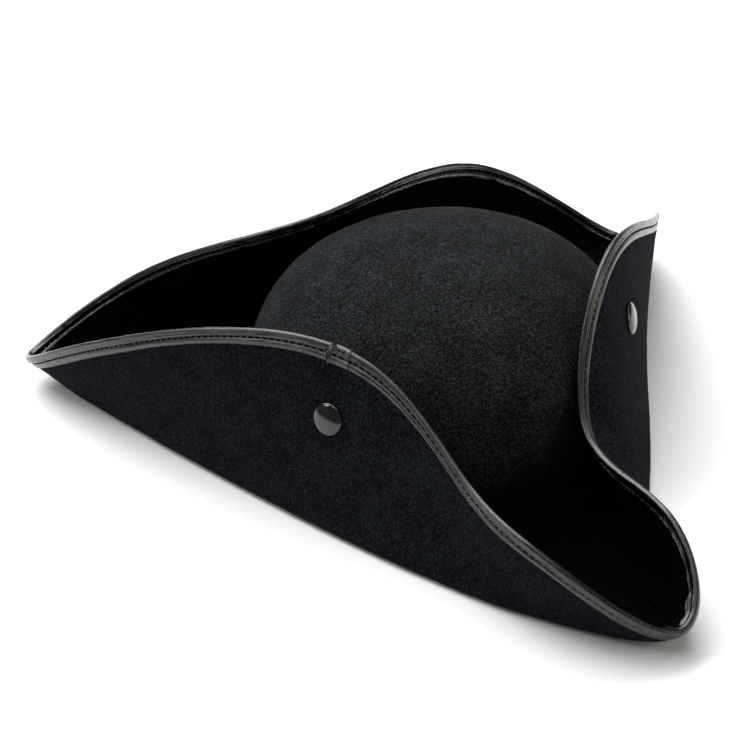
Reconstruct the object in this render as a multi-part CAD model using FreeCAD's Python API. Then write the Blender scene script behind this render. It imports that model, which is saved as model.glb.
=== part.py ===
import FreeCAD, Part
import math
import os
from FreeCAD import Vector

os.makedirs("parts", exist_ok=True)

# Felt tricorn (pirate hat). Millimetres, +Z up, -Y is the hat's front and -X the wearer's right.
# The origin is the centre of the head opening, on the plane that the brim lies on.

# ---- felt body ----
FELT = 2.0
CROWN_HALF_WIDTH = 94.5
CROWN_HALF_LENGTH = 93.0
CROWN_HEIGHT = 93.0
CROWN_WALL_POWER = 0.74
CROWN_TOP_POWER = 0.66
CROWN_PROFILE_POINTS = 14
BRIM_HOLE_GAP = 0.1

# The brim turns up along its base outline and ends at its rim. Each station goes round the hat
# from the front towards the wearer's left: bearing in degrees, the rim's radius and height, and
# the base outline's radius.
STATIONS = [
    (2, 204.5, 13.5, 194),    # front corner
    (9, 166.5, 37.5, 169),
    (13, 100, 45, 145),       # front end of the left flap
    (46, 79, 98, 103),        # top of the left flap
    (93, 119, 73.5, 118),
    (114, 179, 33.5, 169),
    (124, 191, 9, 183),       # left corner
    (146, 160.5, 55.5, 136),
    (200, 78, 83.5, 110),     # top of the back flap
    (220, 158, 51, 150),
    (231, 212.5, 15, 194),    # right corner
    (242, 184, 38, 166),
    (266, 111, 77, 120),
    (314, 85, 80, 113),       # top of the right flap
    (339, 129, 52, 143),      # front end of the right flap
    (349, 176, 40, 164),
]
FOLD_REACH = 5.0          # length of felt, each side of the base outline, that the turn-up takes
BOW = 0.5                 # how far the middle of a flap bellies out
BOW_FULL_LENGTH = 80.0

# ---- flaps: each unsnaps from the crown and lies down about a line over the turn-up ----
HINGE_HEIGHT = 7.5
BRIM_TOP = HINGE_HEIGHT - 1.5
FLAP_BOTTOM = HINGE_HEIGHT + 0.5
HINGE_GAP = 0.6
FLAP_LEAST_REACH = 50.0
HINGES = {
    "left": {"bearing": 62, "ends": (-128, 105), "stations": (0.3, 5.6)},
    "back": {"bearing": 177, "ends": (-40, 88), "stations": (6.3, 9.8)},
    "right": {"bearing": 295, "ends": (-140, 130), "stations": (10.5, 15.6)},
}
FLAPS = list(HINGES)
PLANE_STEPS = 14
FLAP_SECTIONS = 40
CORNER_SECTIONS = 24
SECTIONS_PER_STATION = 8

# ---- edge binding: glossy tape folded over the rim and sewn once round ----
TAPE = 0.6
TAPE_WIDTH = 7.5
JOIN_STATION = 12.79
JOIN_LENGTH = 11.0

STITCH_LENGTH = 2.3
STITCH_WIDTH = 0.7
STITCH_HEIGHT = 0.35
STITCH_PITCH = 3.6
STITCH_INSET = 3.7        # from the tape's folded edge

# ---- snap fasteners ----
SNAP_BEARINGS = {"left": 54, "back": 186, "right": 303}
SNAP_HEIGHT_SHARE = 0.59
CAP_RADIUS = 7.5
CAP_RISE = 2.3
CAP_ROLL = 0.8
CAP_POST_RADIUS = 1.9
SOCKET_RADIUS = 6.0
SOCKET_DEPTH = 2.2
SOCKET_BORE = 3.2
SOCKET_FLOOR = 0.6
STUD_BASE_RADIUS = 5.5
STUD_BASE = 0.7
STUD_NECK_RADIUS = 1.8
STUD_HEAD_RADIUS = 2.3
STUD_HEAD = 0.8
STUD_RISE = 2.8
POST_FLANGE_RADIUS = 5.0
POST_FLANGE = 0.6
POST_TUBE_RADIUS = 1.5

# ---- sweatband ----
BAND = 0.8
BAND_HEIGHT = 28.0
BAND_LIFT = 0.6
BAND_GAP = 0.1
BAND_STITCH_PITCH = 6.0
BAND_STITCH_HEIGHT = 4.0

HALF = FELT / 2


def unit(vector):
    return vector * (1.0 / vector.Length)


def compass(bearing, radius, height):
    angle = math.radians(bearing)
    return Vector(radius * math.sin(angle), -radius * math.cos(angle), height)


def closed_curve(points):
    curve = Part.BSplineCurve()
    curve.interpolate(Points=points, PeriodicFlag=True, Parameters=list(range(len(points) + 1)))
    return curve


RIM = closed_curve([compass(bearing, rim, height) for bearing, rim, height, base in STATIONS])
BASE = closed_curve([compass(bearing, base, HALF) for bearing, rim, height, base in STATIONS])
LAPS = len(STATIONS)


class Section:
    """The brim's middle layer at station s: flat, round the fold, then up a slightly bowed flap."""

    def __init__(self, s):
        self.rim = RIM.value(s % LAPS)
        self.turn = BASE.value(s % LAPS)
        along = RIM.tangent(s % LAPS)[0] + BASE.tangent(s % LAPS)[0]
        rise = self.rim - self.turn
        self.length = rise.Length
        self.up = unit(rise)
        self.out = unit(Vector(self.turn.x, self.turn.y, 0))
        self.inward = unit(self.up.cross(along))
        hole = 1 / math.hypot(self.out.x / CROWN_HALF_WIDTH, self.out.y / CROWN_HALF_LENGTH)
        room = math.hypot(self.turn.x, self.turn.y) - hole
        self.fold = min(FOLD_REACH, 0.45 * self.length, 0.6 * room)
        self.bow = BOW * min(1.0, self.length / BOW_FULL_LENGTH) ** 2

    def flap_point(self, distance, offset=0.0):
        """Point at a distance up the flap from the base outline, offset towards the crown."""
        share = (distance - self.fold) / (self.length - self.fold)
        belly = self.bow * 4 * share * (1 - share) if 0 < share < 1 else 0.0
        return self.turn + self.up * distance + self.inward * (offset - belly)

    def fold_point(self, share, offset=0.0):
        """Point round the fold, share 0 on the flat and 1 on the flap, offset towards the crown."""
        normal = unit(Vector(0, 0, 1) * (1 - share) + self.inward * share)
        start = self.turn - self.out * self.fold
        end = self.turn + self.up * self.fold
        middle = start * (1 - share) ** 2 + self.turn * (2 * share * (1 - share)) + end * share ** 2
        return middle + normal * offset

    def distance_at(self, height, offset=0.0):
        """Distance up the flap where the layer at an offset reaches a height, or the rim."""
        low, high = self.fold, self.length
        for step in range(40):
            middle = (low + high) / 2
            if self.flap_point(middle, offset).z < height:
                low = middle
            else:
                high = middle
        return high


def ruled_face(curve_a, curve_b):
    """Face ruled between two curves that have the same knots."""
    closed = curve_a.isPeriodic()
    surface = Part.BSplineSurface()
    surface.buildFromPolesMultsKnots([curve_a.getPoles(), curve_b.getPoles()], [2, 2],
                                     curve_a.getMultiplicities(), [0, 1], curve_a.getKnots(),
                                     False, closed, 1, curve_a.Degree)
    return surface.toShape()


def solid_of(faces):
    shell = Part.makeShell(faces)
    shell.sewShape()
    solid = Part.makeSolid(Part.makeShell(shell.Faces))
    if solid.Volume < 0:
        solid.reverse()
    return solid


def open_curve(points):
    curve = Part.BSplineCurve()
    curve.interpolate(Points=points, Parameters=list(range(len(points))))
    return curve


def skin_through(sections, closed=False):
    """Solid through equal polygons; a closed run is a ring, an open run gets flat ends."""
    maker = closed_curve if closed else open_curve
    count = len(sections[0])
    rails = [maker([polygon[j] for polygon in sections]) for j in range(count)]
    faces = [ruled_face(rails[j], rails[(j + 1) % count]) for j in range(count)]
    if not closed:
        for polygon in (sections[0], sections[-1]):
            faces.append(Part.Face(Part.makePolygon(polygon + polygon[:1])))
    return solid_of(faces)


def spread(start, stop, count):
    return [start + (stop - start) * i / (count - 1) for i in range(count)]


# ---- where the felt is parted for the hinges ----
def hinge_axes(name):
    """Outward and lengthwise directions of a flap's hinge line."""
    outward = compass(HINGES[name]["bearing"], 1, 0)
    return outward, Vector(-outward.y, outward.x, 0)


def stations_in_plane(polygon, name, reach):
    """For each corner of polygon(section), the station where it lies at reach along the hinge."""
    along = hinge_axes(name)[1]
    first, last = HINGES[name]["stations"]
    found = []
    for j in range(len(polygon(Section(first)))):
        low, high = first, last
        low_miss = polygon(Section(low))[j].dot(along) - reach
        high_miss = polygon(Section(high))[j].dot(along) - reach
        for step in range(PLANE_STEPS):
            s = low + (high - low) * min(0.9, max(0.1, low_miss / (low_miss - high_miss)))
            miss = polygon(Section(s))[j].dot(along) - reach
            if (miss > 0) == (high_miss > 0):
                high, high_miss = s, miss
            else:
                low, low_miss = s, miss
        found.append(low if abs(low_miss) < abs(high_miss) else high)
    return found


def run_of(polygon, starts, stops, count):
    """Solid whose corners each go from their own first station to their own last one."""
    sections = []
    for share in spread(0, 1, count):
        stations = [a + (b - a) * share for a, b in zip(starts, stops)]
        sections.append([polygon(Section(s))[j] for j, s in enumerate(stations)])
    return skin_through(sections)


def flap_run(polygon, name):
    start, stop = HINGES[name]["ends"]
    starts = stations_in_plane(polygon, name, start)
    stops = stations_in_plane(polygon, name, stop)
    return run_of(polygon, starts, stops, FLAP_SECTIONS)


def corner_run(polygon, before, after):
    """The stretch between two flaps, a gap away from each."""
    starts = stations_in_plane(polygon, before, HINGES[before]["ends"][1] + HINGE_GAP)
    stops = stations_in_plane(polygon, after, HINGES[after]["ends"][0] - HINGE_GAP)
    if stops[0] < starts[0]:
        stops = [s + LAPS for s in stops]
    return run_of(polygon, starts, stops, CORNER_SECTIONS)


def place_of(point, margin):
    """Name of the flap that a point is on, "corners" between flaps, or None over a cut."""
    for name in FLAPS:
        outward, along = hinge_axes(name)
        low, high = HINGES[name]["ends"]
        if point.dot(outward) < FLAP_LEAST_REACH:
            continue
        depth = min(point.dot(along) - low, high - point.dot(along))
        if depth > margin:
            return name
        if depth > -margin:
            return None
    return "corners"


# ---- felt pieces ----
def felt_polygon(low_height):
    """Maker of the felt's section from a height up to the rim."""
    def polygon(section):
        sides = []
        for offset in (-HALF, HALF):
            low = section.distance_at(low_height, offset)
            distances = spread(low, max(low, section.length - TAPE_WIDTH), 5) + [section.length]
            sides.append([section.flap_point(d, offset) for d in distances])
        return sides[0] + sides[1][::-1]
    return polygon


def brim():
    """Flat ring round the head opening and the start of the turn-up."""
    hole = Part.Ellipse(Vector(0, 0, 0), CROWN_HALF_WIDTH + BRIM_HOLE_GAP,
                        CROWN_HALF_LENGTH + BRIM_HOLE_GAP).toShape()
    hole_top = hole.translated(Vector(0, 0, FELT))
    polygons = []
    for i in range(LAPS * SECTIONS_PER_STATION):
        section = Section(i / SECTIONS_PER_STATION)
        sides = []
        for offset in (-HALF, HALF):
            side = [section.fold_point(share, offset) for share in (0, 0.25, 0.5, 0.75, 1)]
            top = section.distance_at(BRIM_TOP, offset)
            sides.append(side + [section.flap_point(top, offset)])
        polygons.append(sides[0] + sides[1][::-1])
    count = len(polygons[0])
    rails = [closed_curve([polygon[j] for polygon in polygons]) for j in range(count)]
    faces = [ruled_face(rails[j], rails[j + 1]) for j in range(count - 1)]
    for rail, inner in ((rails[0], hole), (rails[-1], hole_top)):
        wires = [Part.Wire(rail.toShape()), Part.Wire(inner)]
        faces.append(Part.makeFace(wires, "Part::FaceMakerBullseye"))
    faces.append(Part.makeRuledSurface(hole, hole_top))
    return solid_of(faces)


def crown_profile(inset, top_height):
    """Half profile in the XZ plane from the foot to top_height, inset from the outer face."""
    radius = CROWN_HALF_LENGTH - inset
    height = CROWN_HEIGHT - inset
    last = math.asin(min(1.0, top_height / height) ** (1 / CROWN_TOP_POWER))
    points = []
    for t in spread(0, last, CROWN_PROFILE_POINTS):
        wall = radius * math.cos(t) ** CROWN_WALL_POWER if t < math.pi / 2 else 0.0
        points.append(Vector(wall, 0, height * math.sin(t) ** CROWN_TOP_POWER))
    return points


def revolved(outer, inner):
    """Closed ring or dome between two half profiles, widened to the crown's plan."""
    edges = []
    for points in (outer, inner):
        curve = Part.BSplineCurve()
        curve.interpolate(Points=points)
        edges.append(curve.toShape())
    edges.append(Part.makeLine(outer[0], inner[0]))
    edges.append(Part.makeLine(outer[-1], inner[-1]))
    profile = Part.Face(Part.Wire(Part.__sortEdges__(edges)))
    ring = profile.revolve(Vector(0, 0, 0), Vector(0, 0, 1), 360)
    stretch = FreeCAD.Matrix()
    stretch.A11 = CROWN_HALF_WIDTH / CROWN_HALF_LENGTH
    return ring.transformGeometry(stretch)


def crown():
    return revolved(crown_profile(0, CROWN_HEIGHT), crown_profile(FELT, CROWN_HEIGHT - FELT))


# ---- edge binding ----
def tape_polygon(section, layer=0):
    """Folded tape in section; layer 1 lies over layer 0."""
    low = section.flap_point(section.length - TAPE_WIDTH)
    top = section.rim
    near = HALF + TAPE * layer
    far = near + TAPE
    inward = section.inward
    edge = unit(top - low)
    fold = top + edge * TAPE * layer
    lid = top + edge * TAPE * (layer + 1)
    return [low - inward * far, lid - inward * far, lid + inward * far, low + inward * far,
            low + inward * near, fold + inward * near, fold - inward * near, low - inward * near]


def rim_walk(pitch):
    """Stations a pitch apart along the rim, all the way round."""
    steps = 6000
    points = [RIM.value(LAPS * i / steps) for i in range(steps + 1)]
    total = sum((points[i + 1] - points[i]).Length for i in range(steps))
    step_length = total / round(total / pitch)
    stations = []
    travelled = 0.0
    for i in range(steps):
        travelled += (points[i + 1] - points[i]).Length
        if travelled >= step_length:
            travelled -= step_length
            stations.append(LAPS * i / steps)
    return stations


def oriented_box(centre, length_axis, width_axis, height_axis, length, width, height):
    """Box standing on centre, height along height_axis."""
    box = Part.makeBox(length, width, height, Vector(-length / 2, -width / 2, 0))
    turn = FreeCAD.Matrix(length_axis.x, width_axis.x, height_axis.x, centre.x,
                          length_axis.y, width_axis.y, height_axis.y, centre.y,
                          length_axis.z, width_axis.z, height_axis.z, centre.z,
                          0, 0, 0, 1)
    box.transformShape(turn)
    return box


def stitch(s):
    section = Section(s)
    outward = section.inward * -1
    along = tape_polygon(Section(s + 0.01))[1] - tape_polygon(Section(s - 0.01))[1]
    along = unit(along - outward * along.dot(outward))
    edge = unit(section.rim - section.flap_point(section.length - TAPE_WIDTH))
    centre = section.rim - edge * (STITCH_INSET - TAPE) + outward * (HALF + TAPE)
    return oriented_box(centre, along, outward.cross(along), outward,
                        STITCH_LENGTH, STITCH_WIDTH, STITCH_HEIGHT)


def sorted_stitches():
    """Stitches by flap, and those of the corners; a stitch over a cut is left out."""
    groups = {name: [] for name in FLAPS + ["corners"]}
    for s in rim_walk(STITCH_PITCH):
        box = stitch(s)
        place = place_of(box.BoundBox.Center, STITCH_LENGTH)
        if place:
            groups[place].append(box)
    return {name: Part.makeCompound(boxes) for name, boxes in groups.items()}


# ---- snap fasteners ----
def snap_frame(name):
    """Where the flap's middle layer is pierced, and the outward direction of the snap."""
    target = compass(SNAP_BEARINGS[name], 1, 0)
    best = max(spread(0, LAPS, 4001), key=lambda s: Section(s).out.dot(target))
    section = Section(best)
    distance = section.fold + (section.length - section.fold) * SNAP_HEIGHT_SHARE
    centre = section.flap_point(distance)
    before = section.flap_point(distance - 5)
    after = section.flap_point(distance + 5)
    sideways = Section(best + 0.05).flap_point(distance) - Section(best - 0.05).flap_point(distance)
    normal = unit(sideways.cross(after - before))
    if normal.dot(section.out) < 0:
        normal = normal * -1
    return centre, normal


def turned(profile, centre, axis):
    """Solid of revolution from (radius, height) points, standing along axis from centre."""
    points = [Vector(radius, 0, height) for radius, height in profile]
    face = Part.Face(Part.makePolygon(points + points[:1]))
    solid = face.revolve(Vector(0, 0, 0), Vector(0, 0, 1), 360)
    solid.Placement = FreeCAD.Placement(centre, FreeCAD.Rotation(Vector(0, 0, 1), axis))
    return solid


def snap_cap(centre, axis):
    """Domed cap with a rolled rim outside the flap, and its post through the felt."""
    dome = [(CAP_RADIUS * math.cos(a), HALF + CAP_ROLL + (CAP_RISE - CAP_ROLL) * math.sin(a))
            for a in spread(0, math.pi / 2, 9)]
    dome[-1] = (0, HALF + CAP_RISE)
    roll = [(CAP_RADIUS - 0.4, HALF), (CAP_RADIUS, HALF + 0.3)]
    stem = [(0, -HALF - SOCKET_FLOOR), (CAP_POST_RADIUS, -HALF - SOCKET_FLOOR), (CAP_POST_RADIUS, HALF)]
    return turned(stem + roll + dome, centre, axis)


def snap_socket(centre, axis):
    """Ring under the flap that the stud snaps into; its floor lies against the felt."""
    top = -HALF
    bottom = top - SOCKET_DEPTH
    profile = [(CAP_POST_RADIUS, top), (SOCKET_RADIUS, top), (SOCKET_RADIUS, bottom + 0.4),
               (SOCKET_RADIUS - 0.4, bottom), (SOCKET_BORE, bottom),
               (SOCKET_BORE, top - SOCKET_FLOOR), (CAP_POST_RADIUS, top - SOCKET_FLOOR)]
    return turned(profile, centre, axis)


def crown_contact(centre, axis):
    """Point where the snap's axis meets the crown's outer face."""
    low, high = 0.0, 30.0
    for step in range(50):
        middle = (low + high) / 2
        point = centre - axis * middle
        plan = math.hypot(point.x / CROWN_HALF_WIDTH, point.y / CROWN_HALF_LENGTH)
        wall = math.cos(math.asin((point.z / CROWN_HEIGHT) ** (1 / CROWN_TOP_POWER))) ** CROWN_WALL_POWER
        if plan > wall:
            low = middle
        else:
            high = middle
    return centre - axis * low


def snap_stud(contact, axis):
    """Button on the crown: base plate, neck and head."""
    profile = [(POST_TUBE_RADIUS, 0), (STUD_BASE_RADIUS, 0), (STUD_BASE_RADIUS, STUD_BASE),
               (STUD_NECK_RADIUS, STUD_BASE), (STUD_NECK_RADIUS, STUD_RISE - STUD_HEAD),
               (STUD_HEAD_RADIUS, STUD_RISE - STUD_HEAD / 2), (STUD_NECK_RADIUS, STUD_RISE),
               (POST_TUBE_RADIUS, STUD_RISE)]
    return turned(profile, contact, axis)


def snap_post(contact, axis):
    """Rivet from inside the crown, through the felt and into the stud."""
    profile = [(0, -FELT - POST_FLANGE), (POST_FLANGE_RADIUS, -FELT - POST_FLANGE),
               (POST_FLANGE_RADIUS, -FELT), (POST_TUBE_RADIUS, -FELT),
               (POST_TUBE_RADIUS, STUD_RISE - 0.2), (0, STUD_RISE - 0.2)]
    return turned(profile, contact, axis)


# ---- sweatband ----
def sweatband():
    outer = crown_profile(FELT + BAND_GAP, BAND_HEIGHT)
    inner = crown_profile(FELT + BAND_GAP + BAND, BAND_HEIGHT)
    for points in (outer, inner):
        points[0].z = BAND_LIFT
    return revolved(outer, inner)


def sweatband_stitches():
    inset = FELT + BAND_GAP + BAND
    half_width = CROWN_HALF_WIDTH - inset
    half_length = CROWN_HALF_LENGTH - inset
    count = int(2 * math.pi * half_length / BAND_STITCH_PITCH)
    boxes = []
    for i in range(count):
        angle = 2 * math.pi * i / count
        centre = Vector(half_width * math.sin(angle), -half_length * math.cos(angle), BAND_STITCH_HEIGHT)
        along = unit(Vector(half_width * math.cos(angle), half_length * math.sin(angle), 0))
        inward = Vector(0, 0, 1).cross(along)
        boxes.append(oriented_box(centre, along, Vector(0, 0, 1), inward,
                                  STITCH_LENGTH, STITCH_WIDTH, STITCH_HEIGHT))
    return Part.makeCompound(boxes)


# ---- the hat ----
PIECES = {}
stitching = sorted_stitches()
crown_felt = crown()
flap_polygon = felt_polygon(FLAP_BOTTOM)

PIECES["brim"] = brim()
for name, before, after in (("front", "right", "left"), ("left", "left", "back"), ("right", "back", "right")):
    PIECES["corner_" + name] = corner_run(felt_polygon(BRIM_TOP), before, after)
    PIECES["corner_binding_" + name] = corner_run(tape_polygon, before, after)
PIECES["corner_stitching"] = stitching["corners"]

for name in FLAPS:
    centre, axis = snap_frame(name)
    contact = crown_contact(centre, axis)
    pierce = Part.makeCylinder(CAP_POST_RADIUS, 4 * FELT, centre - axis * 2 * FELT, axis)
    rivet_hole = Part.makeCylinder(POST_TUBE_RADIUS, 4 * FELT, contact - axis * 3 * FELT, axis)
    crown_felt = crown_felt.cut(rivet_hole)
    PIECES["flap_" + name] = flap_run(flap_polygon, name).cut(pierce)
    PIECES["flap_binding_" + name] = flap_run(tape_polygon, name)
    PIECES["flap_stitching_" + name] = stitching[name]
    PIECES["snap_cap_" + name] = snap_cap(centre, axis)
    PIECES["snap_socket_" + name] = snap_socket(centre, axis)
    PIECES["snap_stud_" + name] = snap_stud(contact, axis)
    PIECES["snap_post_" + name] = snap_post(contact, axis)
    print(name, "snap", centre, axis, "gap", round((centre - contact).Length, 2))

PIECES["crown"] = crown_felt
PIECES["sweatband"] = sweatband()
PIECES["sweatband_stitching"] = sweatband_stitches()

join_half = JOIN_LENGTH / 2 / RIM.getD1(JOIN_STATION)[1].Length
join_stations = spread(JOIN_STATION - join_half, JOIN_STATION + join_half, 6)
PIECES["binding_join"] = skin_through([tape_polygon(Section(s), 1) for s in join_stations])

for name, shape in PIECES.items():
    shape.exportStep("parts/" + name + ".step")
    print(name, shape.isValid(), len(shape.Solids), round(shape.Volume, 1))
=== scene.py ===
import itertools
import math

import bmesh
import bpy
import numpy as np
from mathutils import Matrix, Vector


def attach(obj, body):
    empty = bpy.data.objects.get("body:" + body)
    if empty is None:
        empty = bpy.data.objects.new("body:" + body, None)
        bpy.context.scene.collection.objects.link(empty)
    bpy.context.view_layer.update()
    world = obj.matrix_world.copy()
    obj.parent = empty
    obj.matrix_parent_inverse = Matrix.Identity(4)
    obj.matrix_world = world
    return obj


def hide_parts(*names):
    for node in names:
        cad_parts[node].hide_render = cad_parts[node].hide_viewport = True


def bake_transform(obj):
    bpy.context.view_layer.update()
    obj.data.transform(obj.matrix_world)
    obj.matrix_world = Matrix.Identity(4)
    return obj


# Felt tricorn (pirate hat). Shapes are worked out in millimetres in the row frame and turned
# into metres when a mesh is made.

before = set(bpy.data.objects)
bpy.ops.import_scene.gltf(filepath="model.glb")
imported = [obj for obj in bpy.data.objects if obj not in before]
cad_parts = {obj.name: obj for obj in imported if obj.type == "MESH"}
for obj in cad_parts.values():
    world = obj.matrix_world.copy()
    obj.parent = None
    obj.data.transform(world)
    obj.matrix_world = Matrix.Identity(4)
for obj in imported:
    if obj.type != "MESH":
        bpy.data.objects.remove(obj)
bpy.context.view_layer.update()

# ---- the hat's shape, as in the CAD ----
# Each station: bearing in degrees, radius and height of the rim, radius of the fold.
STATIONS = np.array([
    (2, 204.5, 13.5, 194), (9, 166.5, 37.5, 169), (13, 100, 45, 145), (46, 79, 98, 103),
    (93, 119, 73.5, 118), (114, 179, 33.5, 169), (124, 191, 9, 183), (146, 160.5, 55.5, 136),
    (200, 78, 83.5, 110), (220, 158, 51, 150), (231, 212.5, 15, 194), (242, 184, 38, 166),
    (266, 111, 77, 120), (314, 85, 80, 113), (339, 129, 52, 143), (349, 176, 40, 164),
], float)
LAPS = len(STATIONS)
SECTORS = {"left": (0, 6), "back": (6, 10), "right": (10, 16)}
FELT_HALF = 1.0
CROWN_A, CROWN_B, CROWN_H = 94.5, 93.0, 93.0
WALL_POWER, TOP_POWER = 0.74, 0.66
FOLD_REACH, BOW, BOW_FULL = 5.0, 0.5, 80.0
JOIN_STATION, JOIN_LENGTH = 12.79, 11.0
SNAP_BEARINGS = {"left": 54, "back": 186, "right": 303}
SNAP_SHARE = 0.59

# ---- fine shape ----
FELT_STEP = 1.45
TAPE_STEP = 0.55
TAPE_WIDTH = 7.5
TAPE_THICK = 0.5
STITCH_PITCH, STITCH_INSET = 3.6, 3.7
STITCH_LENGTH, STITCH_RADIUS = 3.1, 0.43
JOIN_RISE = 0.42
STITCH_LIFT = 0.10
# Rows of points across one face of the brim, and round the rim's edge on each side of its middle.
FLAT_ROWS, FOLD_ROWS, FLAP_ROWS, EDGE_ROWS = 26, 8, 29, 2
CROWN_THICK = 2.0
FLAP_DIMPLE, CROWN_DIMPLE = (11.0, 0.5), (9.0, -0.35)
BAND_STITCHES, BAND_STITCH_HEIGHT, BAND_STITCH_DEPTH = 95, 4.0, 0.8
BAND_STITCH_LENGTH, BAND_STITCH_RADIUS = 3.2, 0.3


def unit(v):
    return v / np.linalg.norm(v, axis=-1, keepdims=True)


def compass(bearing, radius, height):
    a = np.radians(bearing)
    return np.stack([radius * np.sin(a), -radius * np.cos(a), height + 0 * a], -1)


HASH_PRIMES = (73856093, 19349663, 83492791)
NOISE_TABLE = 4096


def noise(points, cell, seed):
    """Smooth noise from -1 to 1 whose features are about a cell wide."""
    table = np.random.default_rng(seed).uniform(-1, 1, NOISE_TABLE)
    q = np.asarray(points) / cell
    base = np.floor(q).astype(np.int64)
    t = q - base
    t = t * t * (3 - 2 * t)
    total = 0.0
    for corner in itertools.product((0, 1), repeat=3):
        c = base + corner
        key = np.bitwise_xor.reduce(c * HASH_PRIMES, -1)
        total = total + table[key % NOISE_TABLE] * np.prod(np.where(corner, t, 1 - t), -1)
    return total


def smooth(x):
    x = np.clip(x, 0, 1)
    return x * x * (3 - 2 * x)


class Loop:
    """Closed cubic curve through points at parameters 0, 1, 2 and so on."""

    def __init__(self, points):
        n = len(points)
        eye = np.eye(n)
        system = 4 * eye + np.roll(eye, 1, 0) + np.roll(eye, -1, 0)
        self.points = points
        chords = np.roll(points, -1, 0) - np.roll(points, 1, 0)
        self.slopes = np.linalg.solve(system, 3 * chords)

    def at(self, s, order=0):
        s = np.asarray(s, float) % len(self.points)
        i = np.floor(s).astype(int) % len(self.points)
        j = (i + 1) % len(self.points)
        t = (s - np.floor(s))[..., None]
        p0, p1, d0, d1 = self.points[i], self.points[j], self.slopes[i], self.slopes[j]
        a, b = 3 * (p1 - p0) - 2 * d0 - d1, 2 * (p0 - p1) + d0 + d1
        return p0 + t * (d0 + t * (a + t * b)) if order == 0 else d0 + t * (2 * a + 3 * t * b)


RIM = Loop(compass(STATIONS[:, 0], STATIONS[:, 1], STATIONS[:, 2]))
BASE = Loop(compass(STATIONS[:, 0], STATIONS[:, 3], FELT_HALF))
FINE_S = np.linspace(0, LAPS, 16001)
FINE_STEPS = np.linalg.norm(np.diff(RIM.at(FINE_S), axis=0), axis=1)
FINE_L = np.concatenate([[0], np.cumsum(FINE_STEPS)])
RIM_LENGTH = FINE_L[-1]


class Section:
    """The brim's middle layer at stations s: flat, round the fold, then up a bowed flap."""

    def __init__(self, s):
        self.rim, self.turn = RIM.at(s), BASE.at(s)
        self.along = unit(RIM.at(s, 1))
        along = self.along + unit(BASE.at(s, 1))
        rise = self.rim - self.turn
        self.length = np.linalg.norm(rise, axis=-1)
        self.up = unit(rise)
        self.out = unit(self.turn * [1, 1, 0])
        self.inward = unit(np.cross(self.up, along))
        self.hole = 1 / np.hypot(self.out[..., 0] / CROWN_A, self.out[..., 1] / CROWN_B)
        self.base = np.hypot(self.turn[..., 0], self.turn[..., 1])
        room = self.base - self.hole
        self.fold = np.minimum(np.minimum(FOLD_REACH, 0.45 * self.length), 0.6 * room)
        self.fillet = np.minimum(5.0, 0.75 * (room - self.fold))
        self.bow = BOW * np.minimum(1, self.length / BOW_FULL) ** 2

    def flap(self, distance, offset):
        share = (distance - self.fold) / (self.length - self.fold)
        belly = self.bow * 4 * share * (1 - share) * ((share > 0) & (share < 1))
        raised = self.turn + self.up * np.asarray(distance)[..., None]
        return raised + self.inward * (offset - belly)[..., None]

    def turn_up(self, share, offset):
        normal = unit(np.array([0, 0, 1.0]) * (1 - share) + self.inward * share)
        start = self.turn - self.out * self.fold[..., None]
        end = self.turn + self.up * self.fold[..., None]
        middle = start * (1 - share) ** 2 + self.turn * (2 * share * (1 - share)) + end * share**2
        return middle + normal * offset


def columns(step):
    """Stations round the rim about a step apart, and where each sector starts among them."""
    found, starts = [], {}
    for name, (first, last) in SECTORS.items():
        l0, l1 = np.interp([first, last], FINE_S, FINE_L)
        count = int(round((l1 - l0) / step))
        starts[name] = (len(found), len(found) + count)
        found += list(np.interp(np.linspace(l0, l1, count + 1)[:-1], FINE_L, FINE_S))
    return np.array(found), starts


# ---- meshes ----
def mesh_object(name, points, faces, normals=None, rest=None):
    """Object from points in millimetres; rest holds where its material's pattern is fixed."""
    mesh = bpy.data.meshes.new(name)
    mesh.from_pydata((np.asarray(points) / 1000).tolist(), [], [list(map(int, f)) for f in faces])
    mesh.polygons.foreach_set("use_smooth", [True] * len(mesh.polygons))
    place = np.asarray(points if rest is None else rest, np.float32)
    mesh.attributes.new("rest", "FLOAT_VECTOR", "POINT").data.foreach_set("vector", place.ravel())
    mesh.update()
    shell = bmesh.new()
    shell.from_mesh(mesh)
    facing = -1 if shell.calc_volume(signed=True) < 0 else 1
    shell.free()
    if facing < 0:
        mesh.flip_normals()
    if normals is not None:
        mesh.normals_split_custom_set_from_vertices((facing * np.asarray(normals)).tolist())
    obj = bpy.data.objects.new(name, mesh)
    bpy.context.scene.collection.objects.link(obj)
    return obj


def grid_faces(n, m, wrap_n, wrap_m, first=0):
    """Quads over an n by m grid of points that starts at index first."""
    i = np.arange(n if wrap_n else n - 1)[:, None]
    j = np.arange(m if wrap_m else m - 1)[None, :]
    i2, j2 = (i + 1) % n, (j + 1) % m
    quads = np.stack([i * m + j, i * m + j2, i2 * m + j2, i2 * m + j], -1) + first
    return quads.reshape(-1, 4)


def grid_normals(grid, wrap_rows):
    """Normals of a grid of points that closes round its columns."""
    across = np.roll(grid, -1, 0) - np.roll(grid, 1, 0)
    if wrap_rows:
        down = np.roll(grid, -1, 1) - np.roll(grid, 1, 1)
    else:
        down = np.gradient(grid, axis=1)
    n = np.cross(down, across)
    return n / np.maximum(np.linalg.norm(n, axis=-1, keepdims=True), 1e-12)


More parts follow.
